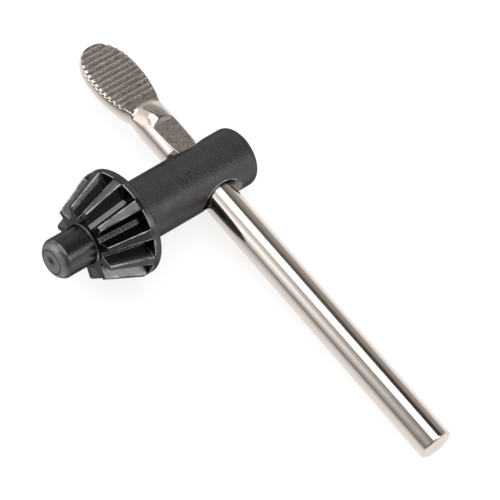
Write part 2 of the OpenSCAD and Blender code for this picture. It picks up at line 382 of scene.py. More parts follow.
lead_r = PILOT_R - PILOT_LEAD
pilot_end = np.array([
    [0.2, CENTRE_DEPTH * 0.7], [CENTRE_R - 0.12, 0.1], [CENTRE_R, 0.02], [CENTRE_R + 0.1, 0],
    [1.4, 0], [lead_r - 0.12, 0], [lead_r - 0.03, 0.005]]) - (0, PILOT_LEN)
pilot_profile = np.concatenate([
    pilot_end,
    bulge([lead_r, 0.012 - PILOT_LEN], [PILOT_R, PILOT_LEAD - PILOT_LEN], LEAD_CURVE, 12),
    [[PILOT_R, PILOT_LEAD - PILOT_LEN + 0.12], [PILOT_R, -3], [PILOT_R, -PILOT_FILLET - 0.1]],
    arc(PILOT_R + PILOT_FILLET, -PILOT_FILLET, PILOT_FILLET, 180, 90, 7),
])
rim_in = RIM_R - RIM_ROUND
shank_in = SHANK_R - SHANK_ROUND
rows_at_hole = np.arange(22.8, 35.4, 0.28)
shank_rows = np.concatenate([
    np.linspace(RIM_BACK + SHANK_FILLET + 0.1, 22.5, 9), rows_at_hole,
    [REAR - SHANK_ROUND - 0.9, REAR - SHANK_ROUND - 0.1]])
shank_profile = np.concatenate([
    [[RIM_R, RIM_BACK - RIM_ROUND - 0.1]],
    arc(rim_in, RIM_BACK - RIM_ROUND, RIM_ROUND, 0, 90, 8),
    [[rim_in - 0.15, RIM_BACK], [SHANK_R + SHANK_FILLET + 0.1, RIM_BACK]],
    arc(SHANK_R + SHANK_FILLET, RIM_BACK + SHANK_FILLET, SHANK_FILLET, 270, 180, 8),
    np.stack([np.full(len(shank_rows), SHANK_R), shank_rows], -1),
    arc(shank_in, REAR - SHANK_ROUND, SHANK_ROUND, 0, 90, 12),
    [[shank_in - 0.15, REAR], [shank_in / 2, REAR], [0.5, REAR]],
])
front_angles = np.arctan2(gear[0, :, 1], gear[0, :, 0])
rear_angles = np.arctan2(gear[-1, :, 1], gear[-1, :, 0])
pilot_rings = turned_rings(pilot_profile, front_angles)
shank_rings = turned_rings(shank_profile, rear_angles)
body_rings = np.concatenate([pilot_rings, gear, shank_rings])
print("the body is %.1f mm long" % (REAR + PILOT_LEN))

# %% [markdown]
# A finish can't tell by itself where a real key is handled or rubbed, so each point of the
# body carries three marks. The edge mark says how far the finish is rubbed off. The satin
# mark is low on the gear and the pilot, which are smooth, and high on the duller shank. The
# face radius is the distance from the axis on the pilot, for the pattern on its end, and a
# larger number everywhere else.

# %% The marks of the body
LEAD_WEAR = 0.64
FOOT_WEAR = 0.5
RIM_BACK_WEAR = 0.35
PILOT_SATIN = 0.2
OFF_FACE = 9.0

pilot_count, shank_count = len(pilot_profile), len(shank_profile)
lead_row, shank_row = len(pilot_end), pilot_count + len(gear)
edge_mark = np.concatenate([
    np.zeros((pilot_count, COLUMNS)), gear_edge, np.zeros((shank_count, COLUMNS))])
edge_mark[lead_row + 2:lead_row + 7] = LEAD_WEAR
edge_mark[pilot_count - 6:pilot_count] = FOOT_WEAR
edge_mark[shank_row + 1:shank_row + 6] = RIM_BACK_WEAR
# Above 1 this mark paints shade: it is raised inside the mouths of the hole further down.
satin_and_shade_mark = np.zeros(edge_mark.shape)
satin_and_shade_mark[:pilot_count] = PILOT_SATIN
satin_and_shade_mark[shank_row:] = 1
face_radius = np.full(edge_mark.shape, OFF_FACE)
face_radius[:pilot_count - 5] = pilot_profile[:-5, :1]


def from_turning(points):
    """A point (c, s, w) of the turned body lies at X = c, Y = w and Z = -s in the key's frame."""
    points = np.asarray(points, float)
    return np.stack([points[..., 0], points[..., 2], -points[..., 1]], -1)


key_body = skin("chuck_key_body", from_turning(body_rings),
                from_turning([0, 0, CENTRE_DEPTH - PILOT_LEN]), from_turning([0, 0, REAR]),
                {"edge": edge_mark, "satin": satin_and_shade_mark, "face_radius": face_radius})

# %% [markdown]
# The bar's hole is drilled, and both mouths are countersunk a little off its axis. The
# cutter is a ring stack too: round the hole's axis its radius is the larger of the hole's
# and of the countersink's, and the Boolean modifier takes it off the body.

# %% Drill the hole for the bar
BAR_R = 3.45
BAR_Y = 29.0
BAR_FIT = 0.02
MOUTH_W = 1.5
MOUTH_X = SHANK_R - MOUTH_W
MOUTH_SHIFT = 0.4
SHARP_FROM = math.radians(28)


def sink_radius(x):
    """Radius of the countersink at a distance x from the body's axis: it shrinks by 1 mm
    for each millimetre inwards."""
    return BAR_R + BAR_FIT + MOUTH_W - (SHANK_R - np.abs(x))


def drill_rings():
    """Rings of the cutter along X. The countersink's circle of radius R has its middle
    MOUTH_SHIFT = d to the rear, so seen from the hole's axis it reaches
    d * cos(b) + sqrt(R^2 - (d * sin(b))^2) at an angle b."""
    far_x = np.linspace(MOUTH_X - 0.6, SHANK_R + 1, 14)
    x = np.concatenate([-far_x[::-1], far_x])[:, None]
    b = np.radians(np.linspace(0, 360, 120, endpoint=False))[None]
    sink = np.maximum(sink_radius(x), 0.1)
    under_root = np.maximum(sink ** 2 - (MOUTH_SHIFT * np.sin(b)) ** 2, 0)
    r = np.maximum(BAR_R + BAR_FIT, MOUTH_SHIFT * np.cos(b) + np.sqrt(under_root))
    return np.stack([np.broadcast_to(x, r.shape), BAR_Y + r * np.cos(b), r * np.sin(b)], -1)


drill = drill_rings()
cutter = skin("drill", drill, [drill[0, 0, 0], BAR_Y, 0], [drill[-1, 0, 0], BAR_Y, 0])
cut = key_body.modifiers.new("bar_hole", "BOOLEAN")
cut.operation = "DIFFERENCE"
cut.solver = "EXACT"
cut.object = cutter
bpy.context.view_layer.update()
cut_body = key_body.evaluated_get(bpy.context.evaluated_depsgraph_get())
drilled = bpy.data.meshes.new_from_object(cut_body)
key_body.modifiers.clear()
key_body.data = drilled
bpy.data.objects.remove(cutter)
drilled.set_sharp_from_angle(angle=SHARP_FROM)
print("the drilled body has", len(drilled.vertices), "points")

# %% [markdown]
# Countersinking leaves a small burr round each mouth, and the black finish wears off it
# It is marked as an edge on the upper side of the shank, most on the side towards the
# gear. Inside the mouth, on that same side, the shade of the countersink is painted in as
# near black. The marks go on the points of the drilled mesh, because the Boolean made new ones
# there.

# %% The marks at the mouths of the hole
BURR_W = 0.4
MOUTH_SHADE_LEVEL = 2.0
FAR_MOUTH_SHADE_LEVEL = 1.3


def point_marks(mark):
    """A mark of the drilled body, as one number for each of its points."""
    values = np.empty(len(drilled.vertices), np.float32)
    drilled.attributes[mark].data.foreach_get("value", values)
    return values


def set_point_marks(mark, values):
    """Write one number for each point of the drilled body into a mark that it has."""
    drilled.attributes[mark].data.foreach_set("value", values.astype(np.float32))


coordinates = np.empty(len(drilled.vertices) * 3, np.float32)
drilled.vertices.foreach_get("co", coordinates)
body_x, body_y, body_z = (coordinates.reshape(-1, 3) @ KEY_AXES.T / MM).T
from_axis = np.hypot(body_x, body_z)
behind_gear = body_y > RIM_BACK
off_mouth = np.hypot(body_y - BAR_Y - MOUTH_SHIFT, body_z) - sink_radius(body_x)
on_shank = (np.abs(from_axis - SHANK_R) < 0.03) & (body_z > 0.3) & behind_gear
at_burr = on_shank & (off_mouth > -0.05) & (off_mouth < BURR_W)
burr = np.where(at_burr, 1.4 - 1.2 * np.abs(off_mouth), 0)
burr = burr * np.where(body_y < BAR_Y + 1.5, 1, 0.6) * np.clip((body_z - 1.9) / 0.8, 0, 1)
set_point_marks("edge", np.maximum(burr, point_marks("edge")))
in_mouth = (from_axis < SHANK_R - 0.02) & (np.abs(body_x) > MOUTH_X - 0.5) & behind_gear
# Painted shade: inside the mouths the mark is raised to a level that the black finish paints near
# black, most on the side towards the gear.
mouth_shade = np.where(body_y < BAR_Y + 2.2, MOUTH_SHADE_LEVEL, FAR_MOUTH_SHADE_LEVEL)
set_point_marks("satin", np.where(in_mouth, mouth_shade, point_marks("satin")))
print("points on the burrs:", (burr > 0).sum(), " in the mouths:", in_mouth.sum())

# %% [markdown]
# The bar is a round rod, and a press has flattened one end of it. Before the pressed faces
# are cut into it, that end is an oval whose width and height change along the bar: it swells
# at the seat beside the shank, narrows at the neck and spreads out into the thumb grip.

# %% The oval of the grip end
GRIP_TIP = 34.2
GRIP_LEN = 17.6
GRIP_W = 11.0
GRIP_POWER = 2.3
GRIP_BLANK_T = 7.2
GRIP_TIP_ROUND = 1.6
GRIP_MID = GRIP_TIP - GRIP_LEN / 2
FACE_START = 18.4
SEAT_W = 7.7
SEAT_END = 12.2
NECK_W = 7.4


def ease(x, a, b):
    """Smooth step 3 t^2 - 2 t^3 with t = (x - a) / (b - a) held between 0 and 1."""
    t = np.clip((x - a) / (b - a), 0, 1)
    return t * t * (3 - 2 * t)


def half_width(x):
    """The bar swells at the seat, narrows at the neck and runs into the blade of the grip,
    whose outline is |2 y / W|^p + |2 (x - mid) / L|^p = 1."""
    reach = np.clip(np.abs(x - GRIP_MID) / (GRIP_LEN / 2), 0, 1)
    blade = GRIP_W / 2 * (1 - reach ** GRIP_POWER) ** (1 / GRIP_POWER)
    swell = BAR_R + (SEAT_W / 2 - BAR_R) * ease(x, MOUTH_X, SHANK_R + 0.4)
    waist = swell + (NECK_W / 2 - SEAT_W / 2) * ease(x, SEAT_END, FACE_START - 2)
    stem = waist * (1 - ease(x, FACE_START, GRIP_MID))
    return (blade ** 5 + stem ** 5) ** 0.2


def half_height(x):
    """The oval grows a little from the bar to the grip and rounds off at the tip."""
    body = BAR_R + (GRIP_BLANK_T / 2 - BAR_R) * ease(x, SHANK_R, SEAT_END)
    left = np.clip((GRIP_TIP - x) / GRIP_TIP_ROUND, 0, 1)
    return body * np.sqrt(left * (2 - left))


print("the grip is %.1f mm wide at its middle" % (2 * half_width(GRIP_MID)))

# %% [markdown]
# The thumb grip has a flat face on either side with straight grooves across it, which leave
# the ribs standing. The face falls a little towards the tip.

# %% The face of the grip
GRIP_T = 2.7
GRIP_DROP = 0.27
GRIP_SLOPE = math.tan(math.radians(3))
FIRST_GROOVE = 19.7
RIB_PITCH = 1.206
RIB_DEPTH = 0.38
GROOVE_SHARE = 0.86
GROOVE_FLOOR = 0.35
GROOVE_COUNT = int((GRIP_TIP - FIRST_GROOVE) / RIB_PITCH)
FACE_H = GRIP_T / 2 - GRIP_DROP


def face_plane(x):
    """Height of the grip's face without its grooves: it falls a little towards the tip."""
    return FACE_H + (GRIP_MID - x) * GRIP_SLOPE


def grooves(x):
    """Depth of the grooves: each is a trapezoid with its corners a little eased."""
    k = np.clip(np.round((x - FIRST_GROOVE) / RIB_PITCH), 0, GROOVE_COUNT - 1)
    off = np.abs(x - FIRST_GROOVE - k * RIB_PITCH) / (RIB_PITCH * GROOVE_SHARE / 2)
    t = np.clip((1 - off) / (1 - GROOVE_FLOOR), 0, 1)
    return RIB_DEPTH * (0.85 * t + 0.15 * t * t * (3 - 2 * t))


def crests(x, outer=0.36, inner=0.20, start=FIRST_GROOVE):
    """1 on the crest of each rib and 0 in the grooves. Counted in rib pitches from the
    middle of a crest, the mark fades from inner to outer. It begins at x = start."""
    off_crest = np.abs((x - FIRST_GROOVE) / RIB_PITCH % 1 - 0.5)
    return ease(off_crest, outer, inner) * (x > start)


print("grooves:", GROOVE_COUNT, " face height at the middle: %.2f mm" % FACE_H)

# %% [markdown]
# Between the seat and the grip the press has drawn the metal down into a neck. Its back is
# rounded across the bar and falls in a curve along it, until it comes down to the level of
# the grip's face and runs into it without a step.

# %% The back of the neck
NECK_H = 3.22
BEND_R = 10
BEND_START = 12.8
FRONT_BACK_R = 3.9
REAR_BACK_R = 6.5
FLAT_TILT = 0.2
FLAT_CURVE = 0.018
LEVEL_BLEND = 0.5


def lower(a, b, blend):
    """The lower of two heights, with the crease between them rounded over about blend."""
    h = np.maximum(blend - np.abs(a - b), 0)
    return np.minimum(a, b) - h * h / (4 * blend)


def neck_height(x, y, side):
    """The neck's back. Along the bar it falls in an arc of radius BEND_R, less so at its
    sides. Across the bar it is an arc R - sqrt(R^2 - y^2) to the rear, side = 1. To the
    front, side = -1, a flat slope beside the seat turns into such an arc further on. It
    comes down to the level of the grip's face and no lower."""
    y = np.minimum(y * NECK_W / 2 / half_width(x), NECK_W / 2)
    fall = BEND_R - np.sqrt(BEND_R ** 2 - np.clip(x - BEND_START, 0, 0.9 * BEND_R) ** 2)
    fall = fall * (1 - (2 * y / NECK_W) ** 8)
    rear = 0.06 * y + REAR_BACK_R - np.sqrt(REAR_BACK_R ** 2 - y * y)
    flat = FLAT_TILT * y + FLAT_CURVE * y * y
    front = 0.02 * y + FRONT_BACK_R - np.sqrt(FRONT_BACK_R ** 2 - y * y)
    front = flat + (front - flat) * ease(x, SEAT_END + 0.4, SEAT_END + 2.2)
    back = NECK_H - fall - (rear if side > 0 else front)
    not_yet = 1 - ease(x, FACE_START - 4.2, FACE_START - 0.6)
    face_level = face_plane(FACE_START) - 0.03 - 4 * not_yet
    return -lower(-back, -face_level, LEVEL_BLEND)


print("the neck falls %.2f mm along its middle" % (
    neck_height(SEAT_END, 0.0, 1) - neck_height(FACE_START, 0.0, 1)))

# %% [markdown]
# The press takes off everything above a height that depends on the place: the flat seat
# beside the shank, the back of the neck, and the grip's face with its ribs. The lowest of
# the three counts, and the creases between them are a little rounded. On the front side the
# ends of the ribs are rolled down towards the edge, where the photograph shows bright nicks.

# %% The height that the press leaves
SEAT_NEAR_H = 2.83
SEAT_FAR_H = 2.48
SEAT_WALL = 0.66
FACE_STEP = math.tan(math.radians(44))
SEAT_BLEND = 0.12
STEP_BLEND = 0.6
OUT_OF_REACH = 20
ROLL_OFF = 0.34
ROLL_FROM = 0.84


def pressed_height(x, y, side=1):
    """Height that the press leaves above the bar's axis at a distance x from the body's axis
    and y from the bar's axis, on the rear side of the bar (1) or the front side (-1)."""
    face = np.where(x > FACE_START, face_plane(x) - grooves(x),
                    face_plane(FACE_START) + (FACE_START - x) * FACE_STEP)
    if side < 0:
        near_edge = np.maximum(y - ROLL_FROM * half_width(x), 0)
        off_tip = ease(x, GRIP_TIP - 1.5, GRIP_TIP - 4)
        face = face - ROLL_OFF * near_edge * crests(x) * off_tip
    flat = SEAT_NEAR_H + (SEAT_FAR_H - SEAT_NEAR_H) * (x - MOUTH_X) / (SEAT_END - MOUTH_X)
    seat = np.where(x < SEAT_END, flat, SEAT_FAR_H + (x - SEAT_END) * SEAT_WALL)
    past_neck = ease(x, FACE_START - 0.04, FACE_START + 0.08)
    before_neck = 1 - ease(x, SEAT_END - 0.1, SEAT_END + 0.1)
    back = neck_height(x, y, side) + OUT_OF_REACH * (past_neck + before_neck)
    return lower(lower(face, back, STEP_BLEND), seat, SEAT_BLEND)


print("seat height at its middle: %.2f mm" % pressed_height((MOUTH_X + SEAT_END) / 2, 0.0))

# %% [markdown]
# Where the pressed height meets the oval there is a corner. It has no formula of its own, so
# it is found by halving an interval, and then grid lines are put on both sides of it and it
# is rounded. The neck isn't pressed as hard as the seat and the face: the metal rolls over
# at its sides, so there the height and the oval are blended over a wider band.

# %% Where the press meets the round
EDGE_BLEND = 0.03
NECK_BLEND = 0.3
TOUCH = 0.004
HALVINGS = 40
BROW_SHARE = 0.65
FACE_POINTS = 20
CORNER_POINTS = 5
SIDE_POINTS = 11


def oval_height(y, middle, w, h):
    """Height of the oval middle + h * sqrt(1 - (y / w)^2) above the bar's axis."""
    return middle + h * np.sqrt(np.maximum(1 - (y / w) ** 2, 0))


def rolled(height, x, y, middle, w, h):
    """A pressed height that is rolled into the oval, over a wider band on the neck."""
    on_neck = ease(x, SEAT_END + 0.2, SEAT_END + 1.2) * (1 - ease(x, FACE_START - 0.8, FACE_START))
    return lower(height, oval_height(y, middle, w, h) + TOUCH, EDGE_BLEND + NECK_BLEND * on_neck)


def corner_place(x, height_at, middle, w, h):
    """How far from the bar's axis the pressed height meets the oval, by halving an interval."""
    low, high = np.zeros_like(x), w.copy()
    for _ in range(HALVINGS):
        y = (low + high) / 2
        above = height_at(x, y) > oval_height(y, middle, w, h)
        high = np.where(above, y, high)
        low = np.where(above, low, y)
    return (low + high) / 2


def quarter(x, lift, middle, w, h, soft, side):
    """A quarter of the rings, from the middle of the pressed face over the corner to the
    side. The corner is rounded with the radius soft. On the side the oval runs
    y = w * cos(a), z = middle + h * sin(a)."""
    def height_at(x, y):
        column = (slice(None),) + (None,) * (np.ndim(y) - 1)
        here = middle[column], w[column], h[column]
        return rolled(pressed_height(x, y, side) + lift[column], x, y, *here)

    y_c = corner_place(x, height_at, middle, w, h)
    a_c = np.arccos(np.clip(y_c / w, 0, 1))
    z_c = middle + h * np.sin(a_c)
    corner = np.stack([y_c, z_c], -1)
    reach = 1e-3
    slope = (height_at(x, y_c) - height_at(x, y_c - reach)) / reach
    into = np.stack([np.ones_like(x), slope], -1)
    out = np.stack([w * np.sin(a_c), -h * np.cos(a_c)], -1)
    radius = np.minimum(soft, BROW_SHARE * np.minimum(y_c, h * a_c))[:, None]
    brow = rounded(corner, into, out, radius, CORNER_POINTS)
    across = np.linspace(0, 1, FACE_POINTS + 1)[:-1] * brow[:, 0, :1]
    face = np.stack([across, height_at(x[:, None], across)], -1)
    a_start = np.arcsin(np.clip((brow[:, -1, 1] - middle) / h, 0, 1))
    a = a_start[:, None] * np.linspace(1, 0, SIDE_POINTS + 1)[1:]
    side = np.stack([w[:, None] * np.cos(a), middle[:, None] + h[:, None] * np.sin(a)], -1)
    return np.concatenate([face, brow, side], axis=1)


print("a quarter has", FACE_POINTS + CORNER_POINTS + SIDE_POINTS, "points")

# %% [markdown]
# The rings lie close together where the height changes fast, so each rib has its own two
# flanks and crest. Four quarters make a ring. Those of the underside are turned over, and
# lift cancels the drop of the oval's middle: the pressed faces of the underside are the
# mirror image of the top's, 2 * GRIP_DROP lower all along.

# %% The rings of the grip end
RING_GAP = 0.012
PLAIN_SOFT = 0.1
ACROSS_HALF_RIB = (0, 0.03, 0.055, 0.07, 0.10, 0.17, 0.25, 0.32, 0.35, 0.38, 0.50)
TO_TIP = np.array([0.3, 0.2, 0.12, 0.07, 0.035, 0.015, 0.005])


def handle_stations():
    """Distances from the body's axis at which the grip end's rings lie, closest together
    where the height changes fast."""
    half = np.array(ACROSS_HALF_RIB)
    across_rib = np.concatenate([half, 1 - half[-2:0:-1]]) - 0.5
    ribs = (FIRST_GROOVE + RIB_PITCH * (np.arange(GROOVE_COUNT)[:, None] + across_rib)).ravel()
    ribs = np.append(ribs, FIRST_GROOVE + RIB_PITCH * (GROOVE_COUNT - 0.5))
    seat = np.arange(MOUTH_X + 0.05, SEAT_END - 0.4, 0.3)
    seat_wall = np.arange(SEAT_END - 0.4, SEAT_END + 2, 0.05)
    neck = np.arange(SEAT_END + 2, FACE_START - 1.5, 0.12)
    to_face = np.arange(FACE_START - 1.5, FACE_START - 0.1, 0.07)
    at_face = np.arange(FACE_START - 0.1, FACE_START + 0.12, 0.03)
    to_ribs = np.arange(FACE_START + 0.13, ribs[0] - 0.03, 0.09)
    return np.concatenate([
        seat, seat_wall, neck, to_face, at_face, to_ribs, ribs, GRIP_TIP - TO_TIP])


along = np.sort(handle_stations())
along = along[np.insert(np.diff(along) > RING_GAP, 0, True)]
middle = -GRIP_DROP * ease(along, SHANK_R, SEAT_END + 3)
lift = 2 * (GRIP_DROP + middle)
wide, high = half_width(along), half_height(along)
rib_top = crests(along)
on_grip = ease(along, FACE_START, FACE_START + 0.6)
soft = {1: np.full_like(along, PLAIN_SOFT), -1: PLAIN_SOFT + (0.2 + 0.6 * rib_top) * on_grip}
top, front_top = (
    quarter(along, 0 * along, middle, wide, high, soft[side], side) for side in (1, -1))
bottom, front_bottom = (
    quarter(along, lift, middle, wide, high, soft[side], side) for side in (1, -1))
for part in (bottom, front_bottom):
    part[..., 1] = 2 * middle[:, None] - part[..., 1]
ring = np.concatenate([
    top, bottom[:, -2::-1], front_bottom[:, 1:] * (-1, 1), front_top[:, -2:0:-1] * (-1, 1)], 1)
across, height = ring[..., 0], ring[..., 1]
grip = np.stack([np.broadcast_to(-along[:, None], height.shape), BAR_Y + across, height], -1)
around = ring.shape[1]
print("the grip end has", len(along), "rings of", around, "points")

# %% [markdown]
# The rest of the bar is round, with a bevelled plain end. Its rings take the angles of the
# grip end's first ring, so that both parts join without a step.

# %% The plain end of the bar
BAR_PLAIN = 69.1
BAR_BEVEL = 0.3
bevel_x, bevel_r = BAR_PLAIN - BAR_BEVEL, BAR_R - BAR_BEVEL
rod_x = [bevel_x - 0.02, bevel_x - 0.15, 40, 12, SHANK_R, 5.5, 5.2, 4.9, 0, 0.1 - MOUTH_X]
bar_profile = np.concatenate([
    [[BAR_PLAIN, 0.6], [BAR_PLAIN, bevel_r - 0.12], [BAR_PLAIN, bevel_r - 0.02]],
    [[BAR_PLAIN - 0.02, bevel_r + 0.01], [bevel_x + 0.02, BAR_R - 0.01]],
    np.stack([rod_x, np.full(len(rod_x), BAR_R)], -1),
])
bar_x, bar_r = bar_profile[:, :1], bar_profile[:, 1:]
turn = np.arctan2(grip[0, :, 2], grip[0, :, 1] - BAR_Y)
bar = np.stack([np.broadcast_to(bar_x, (len(bar_profile), around)),
                BAR_Y + bar_r * np.cos(turn), bar_r * np.sin(turn)], -1)
handle_rings = np.concatenate([bar, grip])
print("the bar and grip together are %.1f mm long" % (BAR_PLAIN + GRIP_TIP))

# %% [markdown]
# The press tool leaves a rough skin on the seat and on the grip's face, and thumbs and
# polishing rub it off the crests of the ribs and their front ends. The first mark, pressed,
# is 1 on the rough skin and 0 on the smooth round. It is a product of where the ring lies
# along the bar and where the point lies round it, with a few weaker patches on the neck.

# %% The rough skin of the press
REAR_OF_NECK = 0.25
SEAT_WALL_MARK = 0.2
NEAR_GRIP = 0.5
FRONT_BROW = (0.1, 0.25, 0.6)
NOTCH_REACH = (1, 1, 0.9, 0.7, 0.4, 0.2)
FACE_CURVE = {"front": 0.9, "rear": 0.5}

point = np.arange(around)
column = along[:, None]
off_axis = np.abs(across)
on_rear = point < FACE_POINTS
on_face = np.zeros(around)
on_face[:FACE_POINTS] = 1
on_face[-FACE_POINTS + 1:] = 1
on_face[-FACE_POINTS + 1:-FACE_POINTS + 1 + len(FRONT_BROW)] = FRONT_BROW
lower_middle = top.shape[1] + bottom.shape[1] - 2
on_face[lower_middle - FACE_POINTS + 1:lower_middle + FACE_POINTS] = 1
notch_reach = np.zeros(around)
notch_reach[-FACE_POINTS + 1:-FACE_POINTS + 1 + len(NOTCH_REACH)] = NOTCH_REACH

on_seat = 1 - ease(along, SEAT_END - 0.05, SEAT_END + 0.1)
rough_along = np.maximum(on_seat, ease(along, FACE_START - 0.4, FACE_START))
rubbed_crest = crests(along, 0.20, 0.10, FIRST_GROOVE - 0.7)
first_flat = ease(along, FACE_START, FACE_START + 0.2) * ease(
    along, FIRST_GROOVE - 0.3, FIRST_GROOVE - 0.5)
rough_along = rough_along * (1 - rubbed_crest) * (1 - 0.6 * first_flat)

curve = np.where(across < 0, FACE_CURVE["front"], FACE_CURVE["rear"])
face_from = FACE_START + curve * np.clip(off_axis / 3.7, 0, 1) ** 2
past_curve = ease(column, face_from - 0.35, face_from + 0.05) + (column < SEAT_END + 0.2)
notch = 1 - rib_top[:, None] * notch_reach
rough = rough_along[:, None] * on_face * past_curve * notch

rear_neck = REAR_OF_NECK * ease(column, SEAT_END, SEAT_END + 0.2) * on_rear
on_wall = ease(column, SEAT_END, SEAT_END + 0.1) * ease(column, SEAT_END + 1.3, SEAT_END + 1.0)
seat_wall = SEAT_WALL_MARK * on_wall * (on_rear + np.clip((point - around + 12) / 12, 0, 1))
before_grip = ease(column, 15.6, 17.6) * (column < FACE_START)
near_grip = NEAR_GRIP * before_grip * ease(off_axis, 2.4, 1.4) * (height > 0)
pressed_mark = np.maximum(np.maximum(rough, near_grip), np.maximum(rear_neck, seat_wall))
pressed_mark = np.concatenate([np.zeros((len(bar), around)), pressed_mark])
print("share of rough points: %.2f" % (pressed_mark > 0.5).mean())

# %% [markdown]
# The front of the neck has two dark lines where the press folded the metal, and the bar is
# dark just inside its hole. Both are painted shade, made as colour and not as shape: a second
# mark darkens the plate there.

# %% Painted shade in the folds of the neck and in the hole
FOLD_START = 13.2
STRIPE_FROM = 2.22
CREASE_FROM = 0.45
STRIPE_W = 0.36
CREASE_W = 0.16
HOLE_SHADE = 0.95


def soft_line(distance, width):
    """A mark that is 1 on a line and fades on both sides as exp(-(distance / width)^2)."""
    return np.exp(-(distance / width) ** 2)


# Painted shade: a soft stripe and a narrow crease line on the front of the neck.
past_start = column - FOLD_START
stripe = soft_line(STRIPE_FROM - 0.32 * past_start - off_axis, STRIPE_W)
stripe = stripe * (0.6 - 0.3 * ease(column, 14, 15.2))
crease = soft_line(CREASE_FROM + 0.155 * past_start - off_axis, CREASE_W)
on_front_neck = (across < 0) & (height > 0)
fold_ends = ease(column, 12.9, 13.3) * ease(column, 17.4, 16.9)
painted_fold_shade = np.maximum(stripe, crease) * on_front_neck * fold_ends
# Painted shade on the bar just inside its hole.
hole_shade = HOLE_SHADE * ease(bar_x, 5.5, 5.0) * (bar_x > 1)
painted_shade_mark = np.concatenate([np.broadcast_to(hole_shade, (len(bar), around)), painted_fold_shade])
handle = skin("chuck_key_handle", handle_rings,
              [BAR_PLAIN, BAR_Y, 0], [-GRIP_TIP, BAR_Y, middle[-1]],
              {"pressed": pressed_mark, "painted_shade": painted_shade_mark})

# %% [markdown]
# Both skins stand where their imported pieces stand. The imported pieces are hidden, and the skins
# hang from the root's empty.

# %% Put the skins in place of the imported pieces
for piece, node, finish in ((key_body, "key_body", "black_oxide"), (handle, "handle", "nickel")):
    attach(piece, "root")
    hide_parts(node)
    print(piece.name, "stands for", node)

# %% [markdown]
# The finishes are built from shader nodes. A few small helpers make a node and join its
# inputs in one line, so that each finish below reads like a list of what it does.

# %% Helpers for shader nodes
def fill(tree, node, inputs):
    """Join a node's inputs to sockets, or set them to plain values."""
    for name, value in inputs.items():
        if isinstance(value, bpy.types.NodeSocket):
            tree.links.new(value, node.inputs[name])
        else:
            node.inputs[name].default_value = value


def add(tree, kind, inputs=None, **settings):
    """A node with its settings and its inputs."""
    node = tree.nodes.new(kind)
    for name, value in settings.items():
        setattr(node, name, value)
    fill(tree, node, inputs or {})
    return node


def math_node(tree, operation, a, b=0.0, clamp=False):
    """The result of one sum on two values."""
    node = add(tree, "ShaderNodeMath", {0: a, 1: b}, operation=operation, use_clamp=clamp)
    return node.outputs[0]


def times(tree, a, b):
    """The product of two values."""
    return math_node(tree, "MULTIPLY", a, b)


def mixed(tree, factor, a, b):
    """A colour between a and b."""
    return add(tree, "ShaderNodeMix", {0: factor, 6: a, 7: b}, data_type="RGBA").outputs[2]


def ramped(tree, value, low, high, to_low=0.0, to_high=1.0):
    """A value mapped from low..high to to_low..to_high and held there."""
    limits = {0: value, 1: low, 2: high, 3: to_low, 4: to_high}
    return add(tree, "ShaderNodeMapRange", limits).outputs[0]


def graded(tree, value, stops, tint=(1, 1, 1)):
    """A colour that follows stops (place, level) as the value goes from 0 to 1."""
    ramp = add(tree, "ShaderNodeValToRGB", {0: value})
    for k, (at, brightness) in enumerate(stops):
        stop = ramp.color_ramp.elements[k] if k < 2 else ramp.color_ramp.elements.new(at)
        stop.position = at
        stop.color = (*(brightness * part for part in tint), 1)
    return ramp.outputs["Color"]


def mark_of(tree, name):
    """A mark of the piece's points."""
    node = add(tree, "ShaderNodeAttribute", attribute_type="GEOMETRY", attribute_name=name)
    return node.outputs["Fac"]


def bumped(tree, height, strength, distance):
    """The surface's direction, tilted as if it rose and fell with a height."""
    depths = {"Height": height, "Strength": strength, "Distance": distance}
    return add(tree, "ShaderNodeBump", depths).outputs[0]


def new_material(name):
    """A material with its node tree and its Principled shader."""
    material = bpy.data.materials.new(name)
    material.use_nodes = True
    return material, material.node_tree, material.node_tree.nodes["Principled BSDF"]


# %% [markdown]
# Two effects are node groups with named inputs, built once, so that any finish can use them
# with its own values. The first is grain, which both finishes use: fine and coarse noise
# that makes them uneven in tone and gloss. A stretch above 1 packs the fine noise closer
# along the bar, so its specks are drawn out along the ribs. The second is edge wear, which
# the black finish uses: a mark on the edges, broken up by noise, so that a rubbed edge shows
# bright in places and not as a drawn line.

# %% Shader groups that the finishes use
def new_group(name, inputs, outputs):
    """A node group with inputs {name: default} and outputs, all of them numbers. It comes
    with the sockets that its inputs arrive at and that its results go to."""
    group = bpy.data.node_groups.new(name, "ShaderNodeTree")
    for label, default in inputs.items():
        socket = group.interface.new_socket(label, in_out="INPUT", socket_type="NodeSocketFloat")
        socket.default_value = default
    for label in outputs:
        group.interface.new_socket(label, in_out="OUTPUT", socket_type="NodeSocketFloat")
    arriving, leaving = group.nodes.new("NodeGroupInput"), group.nodes.new("NodeGroupOutput")
    return group, arriving.outputs, leaving.inputs


def use_group(tree, group, inputs):
    """The outputs of a group placed in a tree, with its inputs joined or set."""
    return add(tree, "ShaderNodeGroup", inputs, node_tree=group).outputs


grain, given, result = new_group("grain", {"Scale": 900.0, "Stretch": 1.0}, ("Fine", "Coarse"))
spot = add(grain, "ShaderNodeTexCoord").outputs["Object"]
axes = add(grain, "ShaderNodeSeparateXYZ", {0: spot}).outputs
drawn = add(grain, "ShaderNodeCombineXYZ", {
    0: times(grain, axes[0], given["Stretch"]), 1: axes[1], 2: axes[2]}).outputs[0]
fine = add(grain, "ShaderNodeTexNoise", {"Vector": drawn, "Scale": given["Scale"], "Detail": 3.0})
broad = add(grain, "ShaderNodeTexNoise", {
    "Vector": spot, "Scale": times(grain, given["Scale"], 0.16), "Detail": 4.0})
grain.links.new(fine.outputs["Fac"], result["Fine"])
grain.links.new(broad.outputs["Fac"], result["Coarse"])

